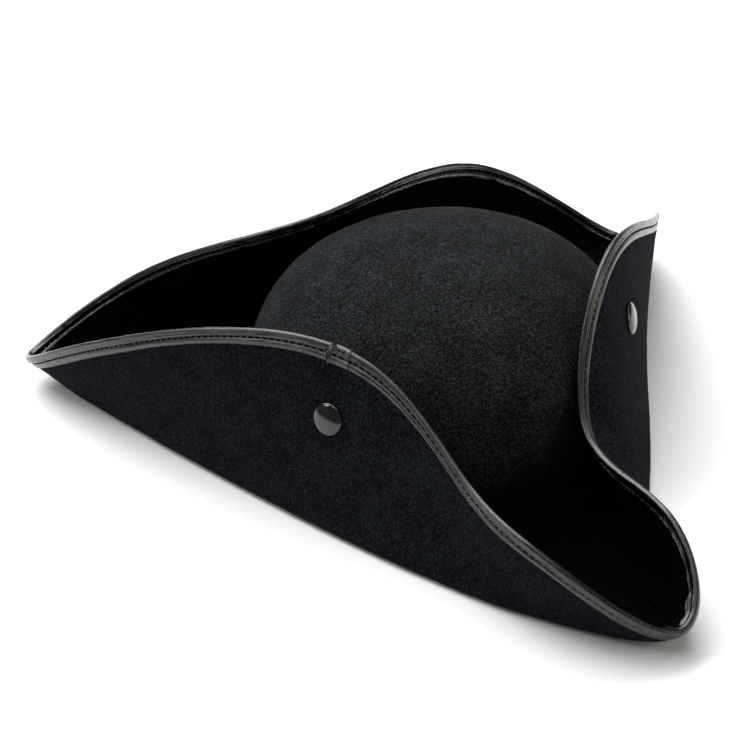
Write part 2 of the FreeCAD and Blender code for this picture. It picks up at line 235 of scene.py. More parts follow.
def sector_object(name, grid, normals, span, rest=None, painted_shade_rows=0):
    """One sector of a ring whose rows close on themselves, with flat ends."""
    picked = np.arange(span[0], span[1] + 1) % len(grid)
    part, bent = grid[picked], normals[picked]
    n, m = part.shape[:2]
    faces = [list(f) for f in grid_faces(n, m, False, True)]
    faces += [list(range(m))[::-1], list(range((n - 1) * m, n * m))]
    obj = mesh_object(name, part.reshape(-1, 3), faces, bent.reshape(-1, 3),
                      rest=None if rest is None else rest[picked].reshape(-1, 3))
    # Faces in the rows counted by the last argument take the second material: on the brim, the
    # darker felt that paints the shade inside it.
    index = np.zeros(len(faces), np.int32)
    index[: (n - 1) * m] = np.tile(np.arange(m) < painted_shade_rows, n - 1)
    obj.data.polygons.foreach_set("material_index", index)
    return obj


def lathe(name, profile, centre, axis, segments):
    """Closed shell turned from (radius, height) points, in millimetres, along axis.

    A profile that starts and ends on the axis gives a solid with two poles, any other a ring."""
    side = unit(np.cross(axis, [0, 0, 1.0]))
    other = np.cross(axis, side)
    a = np.linspace(0, 2 * math.pi, segments, endpoint=False)
    ring = np.cos(a)[:, None] * side + np.sin(a)[:, None] * other
    poles = profile[0][0] == 0
    turned = profile[1:-1] if poles else profile
    count = len(turned)
    grid = np.stack([centre + ring * radius + axis * height for radius, height in turned], 1)
    points = grid.reshape(-1, 3)
    faces = [list(f) for f in grid_faces(segments, count, True, not poles)]
    if poles:
        start, end = len(points), len(points) + 1
        ends = [centre + axis * profile[0][1], centre + axis * profile[-1][1]]
        points = np.concatenate([points, ends])
        for i in range(segments):
            j = (i + 1) % segments
            faces.append([start, i * count, j * count])
            faces.append([end, (j + 1) * count - 1, (i + 1) * count - 1])
    return mesh_object(name, points, faces)


def round_corners(profile, radius, steps=4):
    """The profile with each inner corner rounded off."""
    done = [profile[0]]
    for before, corner, after in zip(profile, profile[1:], profile[2:]):
        p, c, q = (np.array(v, float) for v in (before, corner, after))
        r1 = min(radius, 0.45 * np.linalg.norm(p - c))
        r2 = min(radius, 0.45 * np.linalg.norm(q - c))
        a, b = c + unit(p - c) * r1, c + unit(q - c) * r2
        for t in np.linspace(0, 1, steps + 1):
            done.append(tuple(a * (1 - t) ** 2 + c * 2 * t * (1 - t) + b * t * t))
    return done + [profile[-1]]


# ---- materials ----
def material(name):
    mat = bpy.data.materials.new(name)
    mat.use_nodes = True
    nodes, links = mat.node_tree.nodes, mat.node_tree.links
    shader = nodes["Principled BSDF"]
    place = nodes.new("ShaderNodeAttribute")
    place.attribute_name = "rest"
    return mat, nodes, links, shader, place.outputs["Vector"]


def mapped(nodes, links, source, scale):
    m = nodes.new("ShaderNodeMapping")
    m.inputs["Scale"].default_value = scale
    links.new(source, m.inputs["Vector"])
    return m.outputs["Vector"]


def noise_node(nodes, links, source, scale, detail=3.0, roughness=0.55, distortion=0.0):
    n = nodes.new("ShaderNodeTexNoise")
    n.inputs["Scale"].default_value = scale
    n.inputs["Detail"].default_value = detail
    n.inputs["Roughness"].default_value = roughness
    n.inputs["Distortion"].default_value = distortion
    links.new(source, n.inputs["Vector"])
    return n.outputs["Fac"]


def math_node(nodes, links, operation, a, b):
    n = nodes.new("ShaderNodeMath")
    n.operation = operation
    for socket, value in zip(n.inputs, (a, b)):
        if isinstance(value, (int, float)):
            socket.default_value = value
        else:
            links.new(value, socket)
    return n.outputs[0]


def weighted(nodes, links, a, share_a, b, share_b):
    return math_node(nodes, links, "ADD", math_node(nodes, links, "MULTIPLY", a, share_a),
                     math_node(nodes, links, "MULTIPLY", b, share_b))


def fade_node(nodes, links, place, axis, low, high, start, end):
    """Goes smoothly from start to end as the place passes from low to high along the axis."""
    axes = nodes.new("ShaderNodeSeparateXYZ")
    links.new(place, axes.inputs["Vector"])
    fade = nodes.new("ShaderNodeMapRange")
    fade.interpolation_type = "SMOOTHSTEP"
    for socket, value in zip(("From Min", "From Max", "To Min", "To Max"), (low, high, start, end)):
        fade.inputs[socket].default_value = value
    links.new(axes.outputs[axis], fade.inputs["Value"])
    return fade.outputs["Result"]


def ramp(nodes, links, source, stops):
    n = nodes.new("ShaderNodeValToRGB")
    while len(n.color_ramp.elements) < len(stops):
        n.color_ramp.elements.new(0.5)
    for element, (position, colour) in zip(n.color_ramp.elements, stops):
        element.position = position
        element.color = (*colour, 1)
    links.new(source, n.inputs["Fac"])
    return n.outputs["Color"]


def bump(nodes, links, height, strength, distance, normal=None):
    n = nodes.new("ShaderNodeBump")
    n.inputs["Strength"].default_value = strength
    n.inputs["Distance"].default_value = distance
    links.new(height, n.inputs["Height"])
    if normal is not None:
        links.new(normal, n.inputs["Normal"])
    return n.outputs["Normal"]


def felt_material(name, dark, mid, light, sheen, tint, painted_shade_foot=None):
    """Pressed felt, tangled and brushed.

    The last argument, if given, is (low height, high height, share): painted shade, the colour
    falls to that share at the low one."""
    mat, nodes, links, shader, place = material(name)
    tangle = noise_node(nodes, links, place, 1.1, 6.0, 0.68, 1.2)
    fibre_a, fibre_b = (
        noise_node(nodes, links, mapped(nodes, links, place, scale), 1.0, 5.0, 0.7, 0.8)
        for scale in ((2.6, 0.5, 0.9), (0.5, 1.1, 2.8))
    )
    cloud = noise_node(nodes, links, place, 0.055, 3.0, 0.6)
    strands = math_node(nodes, links, "MAXIMUM", fibre_a, fibre_b)
    mix = weighted(nodes, links, tangle, 0.55, strands, 0.45)
    tone = weighted(nodes, links, mix, 0.94, cloud, 0.06)
    colour = ramp(nodes, links, tone, [(0.455, dark), (0.515, mid), (0.59, light)])
    # Painted shade: the colour darkens towards the crown's foot.
    if painted_shade_foot:
        fade = fade_node(nodes, links, place, "Z", *painted_shade_foot, 1.0)
        scale = nodes.new("ShaderNodeVectorMath")
        scale.operation = "SCALE"
        links.new(colour, scale.inputs["Vector"])
        links.new(fade, scale.inputs["Scale"])
        colour = scale.outputs["Vector"]
    links.new(colour, shader.inputs["Base Color"])
    coarse = bump(nodes, links, tangle, 0.5, 0.0009)
    links.new(bump(nodes, links, strands, 0.55, 0.0006, coarse), shader.inputs["Normal"])
    shader.inputs["Roughness"].default_value = 0.92
    shader.inputs["Specular IOR Level"].default_value = 0.04
    shader.inputs["Sheen Weight"].default_value = sheen
    shader.inputs["Sheen Roughness"].default_value = 0.45
    shader.inputs["Sheen Tint"].default_value = (*tint, 1)
    return mat


def tape_material(name):
    """Glossy coated tape with a fine grain, and lighter streaks on its outer face that are partly
    rubbing and partly painted highlight.
    """
    mat, nodes, links, shader, place = material(name)
    cells = nodes.new("ShaderNodeTexVoronoi")
    cells.feature = "DISTANCE_TO_EDGE"
    cells.inputs["Scale"].default_value = 1.5
    links.new(place, cells.inputs["Vector"])
    wear_and_highlight_tone = noise_node(nodes, links, place, 0.16, 5.0, 0.65)
    # The lighter streaks, partly rubbing and partly painted highlight, show on the outer face only;
    # on the tape, Y runs across it from the outer low edge.
    outer_face_share = fade_node(nodes, links, place, "Y", 8.6, 10.8, 1.0, 0.0)
    drawn_out = mapped(nodes, links, place, (0.10, 1.3, 1.0))
    streaks = noise_node(nodes, links, drawn_out, 1.0, 4.0, 0.6, 0.4)
    wear_and_highlight_tone = weighted(nodes, links, wear_and_highlight_tone, 0.25, streaks, 0.75)
    wear_and_highlight = math_node(nodes, links, "MULTIPLY", wear_and_highlight_tone, outer_face_share)
    stops = [(0.0, (0.0012, 0.0012, 0.0014)), (0.42, (0.0035, 0.0035, 0.004)),
             (0.60, (0.026, 0.027, 0.029))]
    links.new(ramp(nodes, links, wear_and_highlight, stops), shader.inputs["Base Color"])
    rough = math_node(nodes, links, "ADD", math_node(nodes, links, "MULTIPLY", wear_and_highlight, 0.36), 0.12)
    links.new(rough, shader.inputs["Roughness"])
    fine = bump(nodes, links, cells.outputs["Distance"], 0.18, 0.00025)
    drawn = bump(nodes, links, streaks, 0.18, 0.0006, fine)
    links.new(bump(nodes, links, noise_node(nodes, links, place, 0.9, 4.0), 0.30, 0.0006, drawn),
              shader.inputs["Normal"])
    shader.inputs["Specular IOR Level"].default_value = 0.5
    shader.inputs["Coat Weight"].default_value = 0.12
    shader.inputs["Coat Roughness"].default_value = 0.15
    return mat


def thread_material(name, colour):
    mat, nodes, links, shader, place = material(name)
    twist = nodes.new("ShaderNodeTexWave")
    twist.inputs["Scale"].default_value = 2.2
    twist.inputs["Distortion"].default_value = 1.5
    links.new(place, twist.inputs["Vector"])
    light = tuple(2.2 * c for c in colour)
    links.new(ramp(nodes, links, twist.outputs["Fac"], [(0.2, colour), (0.9, light)]),
              shader.inputs["Base Color"])
    links.new(bump(nodes, links, twist.outputs["Fac"], 0.6, 0.0002), shader.inputs["Normal"])
    shader.inputs["Roughness"].default_value = 0.85
    shader.inputs["Specular IOR Level"].default_value = 0.05
    return mat


def enamel_material(name, colour, roughness):
    """Baked black enamel with faint handling marks."""
    mat, nodes, links, shader, place = material(name)
    drawn_out = mapped(nodes, links, place, (0.6, 3.0, 1.2))
    marks = noise_node(nodes, links, drawn_out, 0.8, 5.0, 0.7, 1.0)
    rough = math_node(nodes, links, "ADD", math_node(nodes, links, "MULTIPLY", marks, 0.12),
                      roughness - 0.06)
    links.new(rough, shader.inputs["Roughness"])
    light = tuple(1.6 * c for c in colour)
    links.new(ramp(nodes, links, marks, [(0.3, colour), (0.7, light)]), shader.inputs["Base Color"])
    links.new(bump(nodes, links, noise_node(nodes, links, place, 0.5, 3.0), 0.08, 0.0004),
              shader.inputs["Normal"])
    shader.inputs["Coat Weight"].default_value = 0.3
    shader.inputs["Coat Roughness"].default_value = 0.04
    return mat


def band_material(name):
    """Ribbed cotton band."""
    mat, nodes, links, shader, place = material(name)
    weave = noise_node(nodes, links, mapped(nodes, links, place, (1.2, 1.2, 4.0)), 1.0, 4.0, 0.6)
    stops = [(0.35, (0.010, 0.010, 0.011)), (0.7, (0.030, 0.030, 0.033))]
    links.new(ramp(nodes, links, weave, stops), shader.inputs["Base Color"])
    links.new(bump(nodes, links, weave, 0.5, 0.0003), shader.inputs["Normal"])
    shader.inputs["Roughness"].default_value = 0.85
    shader.inputs["Sheen Weight"].default_value = 0.2
    return mat


BRIM_FELT = felt_material("brim_felt", (0.0004, 0.0006, 0.0012), (0.0022, 0.0031, 0.0057),
                          (0.0200, 0.0238, 0.0325), 0.010, (0.7, 0.8, 1.0))
# Painted shade: a far darker copy of the same felt, with little specular, for the brim's upper and
# inner faces, which lie in shade.
SHADED_INNER_FELT = felt_material("brim_felt_painted_shade", (0.0001, 0.0001, 0.0002), (0.0004, 0.0005, 0.0007),
                           (0.0030, 0.0034, 0.0040), 0.002, (0.7, 0.8, 0.9))
SHADED_INNER_FELT.node_tree.nodes["Principled BSDF"].inputs["Specular IOR Level"].default_value = 0.012
# The crown's felt darkens from 34 mm down to 2 mm, to 0.12 of its colour: painted shade at its
# foot.
CROWN_FELT = felt_material("crown_felt", (0.0008, 0.0010, 0.0012), (0.0050, 0.0062, 0.0072),
                           (0.0400, 0.0440, 0.0480), 0.015, (0.85, 0.95, 1.0), (2.0, 34.0, 0.12))
TAPE = tape_material("binding")
THREAD = thread_material("thread", (0.0006, 0.0006, 0.0007))
ENAMEL = enamel_material("snap_cap", (0.002, 0.002, 0.0022), 0.11)
SATIN = enamel_material("snap_metal", (0.02, 0.02, 0.021), 0.35)
BAND = band_material("sweatband")


def dress(obj, mat, second=None):
    obj.data.materials.append(mat)
    if second:
        obj.data.materials.append(second)
    return obj


# ---- snaps: where each goes through its flap, and where it meets the crown ----
def snap_place(name):
    target = compass(float(SNAP_BEARINGS[name]), 1.0, 0.0)
    s = np.linspace(0, LAPS, 4001)
    best = s[np.argmax(Section(s).out @ target)]
    here = Section(np.array([best - 0.05, best, best + 0.05]))
    distance = here.fold[1] + (here.length[1] - here.fold[1]) * SNAP_SHARE
    zero = np.zeros(3)
    on_flap = here.flap(np.full(3, distance), zero)
    below = here.flap(np.full(3, distance - 5), zero)[1]
    above = here.flap(np.full(3, distance + 5), zero)[1]
    axis = unit(np.cross(on_flap[2] - on_flap[0], above - below))
    axis = axis if axis @ here.out[1] > 0 else -axis
    centre = on_flap[1]
    low, high = 0.0, 30.0
    for _ in range(40):
        middle = (low + high) / 2
        p = centre - axis * middle
        wall = math.cos(math.asin((p[2] / CROWN_H) ** (1 / TOP_POWER))) ** WALL_POWER
        if math.hypot(p[0] / CROWN_A, p[1] / CROWN_B) > wall:
            low = middle
        else:
            high = middle
    return centre, axis, centre - axis * low


SNAPS = {name: snap_place(name) for name in SECTORS}


# ---- felt ----
def felt_wander(points, normals, amount=1.0):
    """The small unevenness of pressed felt, along the normals."""
    height = 0.20 * noise(points, 17.0, 1) + 0.12 * noise(points, 7.0, 2)
    height = height + 0.06 * noise(points, 3.2, 3)
    return points + normals * (height * amount)[..., None]


def dimples(points, away, reach, depth):
    """Felt drawn in round each snap, away being the way the surface faces."""
    moved = points.copy()
    for centre, axis, contact in SNAPS.values():
        rel = points - (centre if away > 0 else contact)
        along = rel @ axis
        radius = np.sqrt(np.maximum(np.sum(rel * rel, -1) - along**2, 0))
        near = np.exp(-((radius / reach) ** 2)) * (np.abs(along) < 4.0)
        moved = moved - axis * (near * depth)[..., None]
    return moved


def brim_grid(s):
    """Closed section of the brim at each station, and each row's share of the unevenness."""
    sec = Section(s)
    rows, amount = [], []
    flat = np.linspace(0, 1, FLAT_ROWS)
    folds = np.linspace(0, 1, FOLD_ROWS + 1)[1:]
    rises = np.linspace(0, 1, FLAP_ROWS + 1)[1:]

    def flat_row(share, z):
        radius = (sec.hole + sec.fillet) * (1 - share) + (sec.base - sec.fold) * share
        return np.concatenate([(sec.out * radius[:, None])[:, :2], np.full((len(s), 1), z)], 1)

    def flap_row(share, side):
        distance = sec.fold + (sec.length - sec.fold) * share
        q = sec.length - distance
        swell = 0.16 * np.exp(-(((q - 9.4) / 1.5) ** 2)) - 0.10 * smooth((8.0 - q) / 1.0)
        return sec.flap(distance, side * (FELT_HALF + swell))

    for share in flat:
        rows.append(flat_row(share, 2 * FELT_HALF))
        amount.append(1.0)
    for share in folds:
        rows.append(sec.turn_up(share, FELT_HALF))
        amount.append(1.0)
    for share in rises:
        rows.append(flap_row(share, 1))
        amount.append(1.0)
    for offset in (0.75, 0.3, -0.3, -0.75):
        round_edge = sec.length + 0.35 * math.cos(offset * 1.6)
        rows.append(sec.flap(round_edge, np.full(len(s), offset)))
        amount.append(0.0)
    for share in rises[::-1]:
        rows.append(flap_row(share, -1))
        amount.append(1.0)
    for share in folds[::-1]:
        rows.append(sec.turn_up(share, -FELT_HALF))
        amount.append(float(0.2 + 0.8 * share))
    for share in flat[::-1]:
        rows.append(flat_row(share, 0.0))
        amount.append(0.0)
    return np.stack(rows, 1), np.array(amount)


FELT_S, FELT_SPANS = columns(FELT_STEP)
BRIM_UPPER_ROWS = FLAT_ROWS + FOLD_ROWS + FLAP_ROWS + EDGE_ROWS


def make_brim():
    grid, amount = brim_grid(FELT_S)
    normals = grid_normals(grid, True)
    normals[:, 0], normals[:, -1] = (0, 0, 1), (0, 0, -1)
    grid = felt_wander(grid, normals, amount)
    grid = dimples(grid, 1, *FLAP_DIMPLE)
    bent = grid_normals(grid, True)
    bent[:, 0], bent[:, -1] = (0, 0, 1), (0, 0, -1)
    made = {}
    for name, span in FELT_SPANS.items():
        # The upper and inner rows take the second, darker felt: painted shade inside the brim.
        obj = sector_object("felt_brim_" + name, grid, bent, span, painted_shade_rows=BRIM_UPPER_ROWS)
        made[name] = dress(obj, BRIM_FELT, SHADED_INNER_FELT)
    return made


def crown_profile(inset, count):
    """(share of the plan, height) down the crown's side, evenly spaced."""
    t = np.linspace(math.pi / 2, 0, 4000)
    k = np.cos(t) ** WALL_POWER
    z = (CROWN_H - inset) * np.sin(t) ** TOP_POWER
    k[0] = 0.0
    run = np.concatenate([[0], np.cumsum(np.hypot(np.diff(k * CROWN_A), np.diff(z)))])
    at = np.linspace(0, run[-1], count)
    return np.interp(at, run, k), np.interp(at, run, z)


def make_crown():
    sec = Section(FELT_S)
    flat_out = sec.out[:, :2]

    def row(radius, z):
        z = np.broadcast_to(z, len(FELT_S))
        return np.concatenate([flat_out * radius[:, None], z[:, None]], 1)

    outer = []
    k, z = crown_profile(0.0, 66)
    for share, height in zip(k[1:], z[1:]):
        if height > 7.5:
            outer.append(row(sec.hole * share, height))
    for angle in np.linspace(0, math.pi / 2, 9):
        radius = sec.hole + sec.fillet * (1 - math.cos(angle))
        outer.append(row(radius, 2 * FELT_HALF + sec.fillet * (1 - math.sin(angle))))
    outer = np.stack(outer, 1)
    inner = []
    k, z = crown_profile(CROWN_THICK, 40)
    for share, height in zip(k[1:], z[1:]):
        if height > 2.5:
            inner.append(row((sec.hole - CROWN_THICK) * share, height))
    for angle in np.linspace(0, math.pi / 2, 5):
        radius = sec.hole - CROWN_THICK + 1.5 * (1 - math.cos(angle))
        inner.append(row(radius, 1.5 * (1 - math.sin(angle))))
    inner.append(row(sec.hole + sec.fillet, 0.0))
    inner = np.stack(inner, 1)
    n_out = grid_normals(outer, False)
    n_out[:, -1] = (0, 0, 1)
    outer = dimples(felt_wander(outer, n_out), -1, *CROWN_DIMPLE)
    n_in = -grid_normals(inner, False)
    inner = felt_wander(inner, n_in, np.where(inner[..., 2] > 3, 1.0, 0.0))
    n_out, n_in = grid_normals(outer, False), -grid_normals(inner, False)
    n_out[:, -1], n_in[:, -1] = (0, 0, 1), (0, 0, -1)
    n = len(FELT_S)
    points = [outer.reshape(-1, 3), inner.reshape(-1, 3)]
    normals = [n_out.reshape(-1, 3), n_in.reshape(-1, 3)]
    faces = [list(f) for f in grid_faces(n, outer.shape[1], True, False)]
    first = n * outer.shape[1]
    faces += [list(f)[::-1] for f in grid_faces(n, inner.shape[1], True, False, first)]
    top, under = first + n * inner.shape[1], first + n * inner.shape[1] + 1
    points.append(np.array([outer[:, 0].mean(0), inner[:, 0].mean(0)]))
    normals.append(np.array([(0, 0, 1.0), (0, 0, -1.0)]))
    for i in range(n):
        j = (i + 1) % n
        faces.append([top, i * outer.shape[1], j * outer.shape[1]])
        faces.append([under, first + j * inner.shape[1], first + i * inner.shape[1]])
        a, b = (i + 1) * outer.shape[1] - 1, (j + 1) * outer.shape[1] - 1
        c, d = first + (j + 1) * inner.shape[1] - 1, first + (i + 1) * inner.shape[1] - 1
        faces.append([b, a, d, c])
    obj = mesh_object("felt_crown", np.concatenate(points), faces, np.concatenate(normals))
    return dress(obj, CROWN_FELT)


# ---- edge binding ----
STITCH_COUNT = int(round(RIM_LENGTH / STITCH_PITCH))
STITCH_STEP = RIM_LENGTH / STITCH_COUNT


def rim_run(s):
    return np.interp(np.asarray(s) % LAPS, FINE_S, FINE_L)


def tightness(s):
    """How sharply the rim turns, 0 to 1, smoothed along it."""
    a, b = unit(RIM.at(s - 0.04, 1)), unit(RIM.at(s + 0.04, 1))
    reach = np.linalg.norm(RIM.at(s + 0.04) - RIM.at(s - 0.04), axis=-1)
    bend = np.linalg.norm(b - a, axis=-1) / np.maximum(reach, 1e-6)
    return np.clip(bend / 0.035, 0, 1)


def tape_height(s, q, side):
    """How far the tape's face stands off the felt at a distance q from the rim."""
    run = rim_run(s)
    near_rim = np.clip((q - 0.6) / (STITCH_INSET - 0.6), 0, 1)
    past_seam = np.clip((q - STITCH_INSET) / (TAPE_WIDTH - STITCH_INSET), 0, 1)
    pad = np.sin(np.pi * np.where(q < STITCH_INSET, near_rim, past_seam)) ** 2
    where = np.stack([run, q * 1.2 + 0 * run, np.full_like(run, 40.0 * side)], -1)
    tight = tightness(s)
    waves = 0.16 * noise(where * [1, 0.5, 1], 9.0, 11) + 0.10 * noise(where, 4.0, 12)
    puckers = noise(where * [1, 0.25, 1], 5.5, 13)
    puckers = puckers + (side > 0) * tight * 1.9 * noise(where * [1, 0.2, 1], 15.0, 14)
    strength = np.where(side > 0, 0.14 + 1.00 * tight, 0.10 + 0.10 * tight)
    edge = smooth((TAPE_WIDTH - q) / 0.5)
    height = TAPE_THICK * edge + pad * (0.30 + waves)
    height = height + strength * np.abs(puckers) * edge * (0.25 + 0.75 * pad)
    phase = (run / STITCH_STEP) % 1.0
    gap = (phase - 0.5) * STITCH_STEP
    dent = np.exp(-((gap / 1.6) ** 8)) * np.exp(-(((q - STITCH_INSET) / 0.55) ** 2))
    groove = np.exp(-(((q - STITCH_INSET) / 0.8) ** 2))
    crease = np.exp(-(((q - 1.35) / 0.3) ** 2))
    drawn_out = np.stack([run * 0.12, q * 2.2 + 0 * run, 7.0 * side + 0 * run], -1)
    line = 0.08 * noise(drawn_out, 1.0, 15)
    height = height - 0.30 * dent - 0.42 * groove * edge - 0.20 * crease + line * edge
    return np.maximum(height, 0.04)


# How far each row of one side of the tape lies from the rim.
TAPE_LEG = np.concatenate([[TAPE_WIDTH, TAPE_WIDTH - 0.06, TAPE_WIDTH - 0.2, TAPE_WIDTH - 0.45],
                           np.linspace(TAPE_WIDTH - 0.8, 1.0, 17)])


def tape_ring(s, extra=0.0):
    """Closed section of the folded tape at each station."""
    sec = Section(s)
    wander = 0.30 * noise(np.stack([rim_run(s), 0 * s, 0 * s], -1), 26.0, 21)
    rows = []

    def leg(q, side):
        shown = q * (TAPE_WIDTH + wander) / TAPE_WIDTH if q > STITCH_INSET else q + 0 * s
        height = tape_height(s, np.full(len(s), q), side)
        return sec.flap(sec.length - shown, side * (FELT_HALF + extra + height))

    for q in TAPE_LEG:
        rows.append(leg(q, -1))
    reach_out = tape_height(s, np.full(len(s), 1.0), -1) + FELT_HALF + extra
    reach_in = tape_height(s, np.full(len(s), 1.0), 1) + FELT_HALF + extra
    crest = 0.62 + extra + 0.10 * noise(np.stack([rim_run(s), 0 * s, 0 * s + 9], -1), 8.0, 22)
    for angle in np.linspace(-math.pi / 2, math.pi / 2, 11)[1:-1]:
        reach = reach_out if angle < 0 else reach_in
        top = sec.length - 1.0 + (1.0 + crest) * math.cos(angle)
        rows.append(sec.flap(top, reach * math.sin(angle)))
    for q in TAPE_LEG[::-1]:
        rows.append(leg(q, 1))
    for q in (TAPE_WIDTH - 0.2, 0.8):
        rows.append(sec.flap(sec.length - q, np.full(len(s), FELT_HALF + extra - 0.12)))
    for q in (0.8, TAPE_WIDTH - 0.2):
        rows.append(sec.flap(sec.length - q, np.full(len(s), -FELT_HALF - extra + 0.12)))
    return np.stack(rows, 1)


TAPE_S, TAPE_SPANS = columns(TAPE_STEP)


def make_tape():
    grid = tape_ring(TAPE_S)
    normals = grid_normals(grid, True)
    run = np.broadcast_to(rim_run(TAPE_S)[:, None], grid.shape[:2])
    across = np.concatenate([[0], np.cumsum(np.linalg.norm(np.diff(grid[0], axis=0), axis=1))])
    rest = np.stack([run, np.broadcast_to(across, grid.shape[:2]), 0 * run], -1)
    made = {}
    for name, span in TAPE_SPANS.items():
        obj = sector_object("binding_" + name, grid, normals, span, rest)
        made[name] = dress(obj, TAPE)
    return made


def capsule(length, radius, flat=0.75, rings=7, segments=8):
    """Points and faces of one thread stitch along x, standing on z."""
    points = []
    for x in np.linspace(-1, 1, rings):
        r = radius * math.sqrt(max(1 - abs(x) ** 5, 0.02))
        a = np.linspace(0, 2 * math.pi, segments, endpoint=False)
        sag = -0.5 * radius * abs(x) ** 3
        ring = [np.full(segments, x * length / 2), r * np.cos(a), r * flat * np.sin(a) + sag]
        points.append(np.stack(ring, -1))
    faces = [list(f) for f in grid_faces(rings, segments, False, True)]
    faces += [list(range(segments))[::-1], list(range((rings - 1) * segments, rings * segments))]
    return np.concatenate(points), faces


def add_stitch(points, faces, stitch, place, x, y, z):
    """Adds a stitch at a place, lying along x and standing on z."""
    shape, shape_faces = stitch
    faces += [[k + len(shape) * len(points) for k in f] for f in shape_faces]
    points.append(place + shape[:, :1] * x + shape[:, 1:2] * y + shape[:, 2:] * z)


def make_stitches():
    stitch = capsule(STITCH_LENGTH, STITCH_RADIUS)
    made = {}
    for name, (first, last) in SECTORS.items():
        runs = (np.arange(STITCH_COUNT) + 0.5) * STITCH_STEP
        s = np.interp(runs, FINE_L, FINE_S)
        s = s[(s >= first) & (s < last)]
        sec = Section(s)
        points, faces = [], []
        joined = np.abs(rim_run(s) - rim_run(JOIN_STATION)) < JOIN_LENGTH / 2
        for side in (-1, 1):
            height = tape_height(s, np.full(len(s), STITCH_INSET), side) + JOIN_RISE * joined
            place = sec.flap(sec.length - STITCH_INSET, side * (FELT_HALF + height + STITCH_LIFT))
            face = sec.inward * side
            along = unit(sec.along - face * np.sum(sec.along * face, -1, keepdims=True))
            across = np.cross(face, along)
            for p, x, y, z in zip(place, along, across, face):
                add_stitch(points, faces, stitch, p, x, y, z)
        obj = mesh_object("stitching_" + name, np.concatenate(points), faces)
        made[name] = dress(obj, THREAD)
    return made


def make_join():
    """The tape's overlapped end: a second layer whose lifted lip is notched at the rim."""
    half = JOIN_LENGTH / 2
    centre = rim_run(JOIN_STATION)
    share = np.linspace(0, 1, 44)
    s = np.interp(centre - half + 2 * half * share, FINE_L, FINE_S)
    grid = tape_ring(s, JOIN_RISE)
    sec = Section(s)
    across = np.linspace(0, 1, grid.shape[1])
    lip = np.exp(-(((share - 0.06) / 0.08) ** 2))
    lip = lip + 0.35 * np.exp(-(((share - 0.96) / 0.05) ** 2))
    ring_normals = grid_normals(np.concatenate([grid, grid[::-1]]), True)[: len(grid)]
    grid = grid - ring_normals * (0.95 * lip[:, None] * np.where(across < 0.8, 1, 0))[..., None]
    notch = 3.4 * np.exp(-(((across - 0.41) / 0.05) ** 2))
    notch = notch - 1.4 * np.exp(-(((across - 0.27) / 0.06) ** 2))
    grid = grid + sec.along[:, None, :] * (((1 - share) ** 3)[:, None] * notch[None, :])[..., None]
    normals = grid_normals(np.concatenate([grid, grid[::-1]]), True)[: len(grid)]
    normals[0], normals[-1] = normals[1], normals[-2]
    obj = sector_object("join_overlap", grid, normals, (0, len(grid) - 1))
    rows = grid.shape[1]
    # The first three columns, at the lifted lip, take the dark thread finish: painted shade for the
    # gap under the lip.
    index = np.zeros(len(obj.data.polygons), np.int32)
    index[: (len(grid) - 1) * rows] = np.repeat(np.arange(len(grid) - 1) < 3, rows)
    obj.data.polygons.foreach_set("material_index", index)
    return dress(obj, TAPE, THREAD)


# ---- snaps ----
# (radius, height) along the snap's axis, in millimetres.
CAP_PROFILE = [
    (0, -1.5), (1.9, -1.5), (1.9, 0.9), (6.9, 0.9), (7.35, 0.95), (7.5, 1.2), (7.45, 1.5),
    (7.25, 1.75), (6.9, 2.02), (6.4, 2.30), (5.7, 2.58), (4.8, 2.84), (3.6, 3.06), (2.2, 3.22),
    (1.0, 3.29), (0, 3.3),
]
SOCKET_PROFILE = [
    (2.0, -1.0), (6.0, -1.0), (6.0, -2.7), (5.6, -3.15), (4.9, -3.2), (4.5, -2.95),
    (4.0, -3.15), (3.2, -3.2), (3.2, -1.7), (2.0, -1.7),
]
STUD_PROFILE = [
    (1.5, 0.0), (5.5, 0.0), (5.5, 0.45), (5.0, 0.7), (3.4, 0.62), (1.85, 0.95), (1.8, 1.9),
    (2.25, 2.25), (2.3, 2.5), (1.8, 2.8), (1.5, 2.8),
]
RIVET_PROFILE = [
    (0, -2.6), (4.4, -2.6), (5.0, -2.35), (5.0, -2.05), (1.5, -2.0), (1.5, 2.6), (0, 2.6),
]


def make_snaps():
    """Cap, socket, stud and rivet of each snap, in that order."""
    made = {}
    for name, (centre, axis, contact) in SNAPS.items():
        made[name] = []
        for piece, profile, radius, at, segments, mat, slot in (
            ("snap_cap_shell_", CAP_PROFILE, 0.18, centre, 96, ENAMEL, "snap_cap"),
            ("snap_socket_ring_", SOCKET_PROFILE, 0.2, centre, 72, SATIN, "snap_metal"),
            ("snap_stud_button_", STUD_PROFILE, 0.2, contact, 72, SATIN, "snap_metal"),
            ("snap_rivet_", RIVET_PROFILE, 0.2, contact, 72, SATIN, "snap_metal"),
        ):
            obj = lathe(piece + name, round_corners(profile, radius), at, axis, segments)
            made[name].append(dress(obj, mat))
    return made


# ---- sweatband ----
BAND_LOW, BAND_HIGH, BAND_THICK, BAND_INSET = 0.6, 28.0, 0.75, 2.12


def band_point(angle, z, depth):
    inset = BAND_INSET + depth
    t = np.arcsin(np.clip(z / (CROWN_H - inset), 0, 1) ** (1 / TOP_POWER))
    k = np.cos(t) ** WALL_POWER
    x = (CROWN_A - inset) * k * np.sin(angle)
    y = -(CROWN_B - inset) * k * np.cos(angle)
    return np.stack([x, y, z + 0 * angle], -1)


